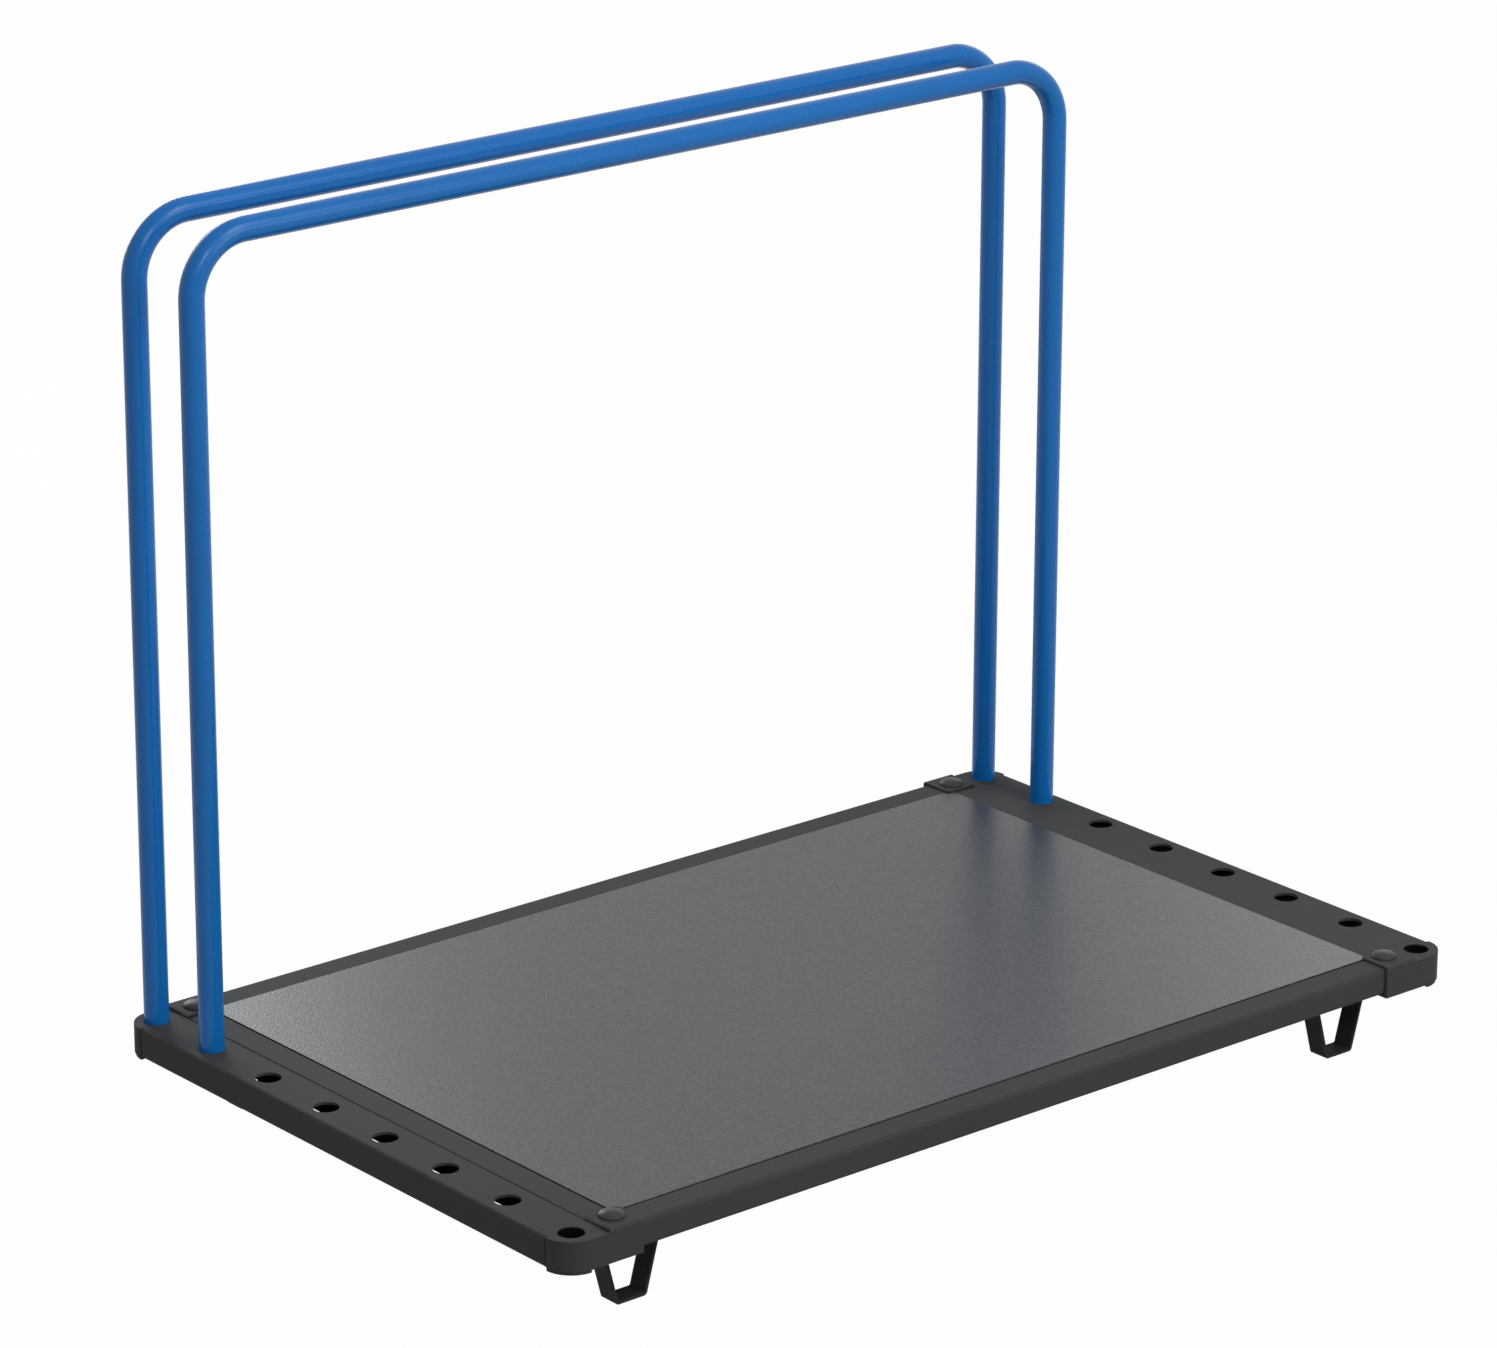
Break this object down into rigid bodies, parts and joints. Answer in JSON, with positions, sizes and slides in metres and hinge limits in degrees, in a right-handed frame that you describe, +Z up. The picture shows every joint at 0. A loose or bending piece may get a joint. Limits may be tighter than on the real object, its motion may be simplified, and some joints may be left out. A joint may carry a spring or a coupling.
{
  "type": "sheet goods cart",
  "caption": "Low framed platform on strap feet with rows of end sockets and two lift-out blue tube hoops that hold panels and sheets on edge.",
  "frame": {"origin": "on the floor, under the middle of the deck", "axes": "+X along the long side of the deck, to the right seen from the front; +Y to the back, where the hoops stand; +Z up"},
  "size_m": [1.222, 0.752, 0.9894],
  "materials": {
    "deck": "satin",
    "grey_frame": "satin",
    "cap": "satin",
    "bolt_head": "satin",
    "dark_frame": "satin",
    "fastener": "satin",
    "blue_tube": "satin",
    "plug": "matte"
  },
  "bodies": {
    "base": {"deck_panel": "deck", "cross_bar_left": "dark_frame", "cross_bar_middle": "dark_frame", "cross_bar_right": "dark_frame", "side_rail_front": "grey_frame", "side_rail_back": "grey_frame", "end_rail_left": "grey_frame", "end_strip_left": "grey_frame", "end_rail_right": "grey_frame", "end_strip_right": "grey_frame", "corner_cap_front_left": "cap", "cap_bolt_front_left": "bolt_head", "cap_nut_front_left": "fastener", "foot_front_left": "dark_frame", "foot_bolt_front_left_inner": "fastener", "foot_nut_front_left_inner": "fastener", "foot_bolt_front_left_outer": "fastener", "foot_nut_front_left_outer": "fastener", "corner_cap_back_left": "cap", "cap_bolt_back_left": "bolt_head", "cap_nut_back_left": "fastener", "foot_back_left": "dark_frame", "foot_bolt_back_left_inner": "fastener", "foot_nut_back_left_inner": "fastener", "foot_bolt_back_left_outer": "fastener", "foot_nut_back_left_outer": "fastener", "corner_cap_front_right": "cap", "cap_bolt_front_right": "bolt_head", "cap_nut_front_right": "fastener", "foot_front_right": "dark_frame", "foot_bolt_front_right_inner": "fastener", "foot_nut_front_right_inner": "fastener", "foot_bolt_front_right_outer": "fastener", "foot_nut_front_right_outer": "fastener", "corner_cap_back_right": "cap", "cap_bolt_back_right": "bolt_head", "cap_nut_back_right": "fastener", "foot_back_right": "dark_frame", "foot_bolt_back_right_inner": "fastener", "foot_nut_back_right_inner": "fastener", "foot_bolt_back_right_outer": "fastener", "foot_nut_back_right_outer": "fastener"},
    "hoop_front": {"hoop_front": "blue_tube", "leg_plug_front_left": "plug", "leg_plug_front_right": "plug"},
    "hoop_back": {"hoop_back": "blue_tube", "leg_plug_back_left": "plug", "leg_plug_back_right": "plug"}
  },
  "joints": [
    {"name": "hoop_front_lift", "type": "slide", "parent": "base", "child": "hoop_front", "axis": [0, 0, 1], "range_m": [0, 0.06]},
    {"name": "hoop_back_lift", "type": "slide", "parent": "base", "child": "hoop_back", "axis": [0, 0, 1], "range_m": [0, 0.06]}
  ]
}
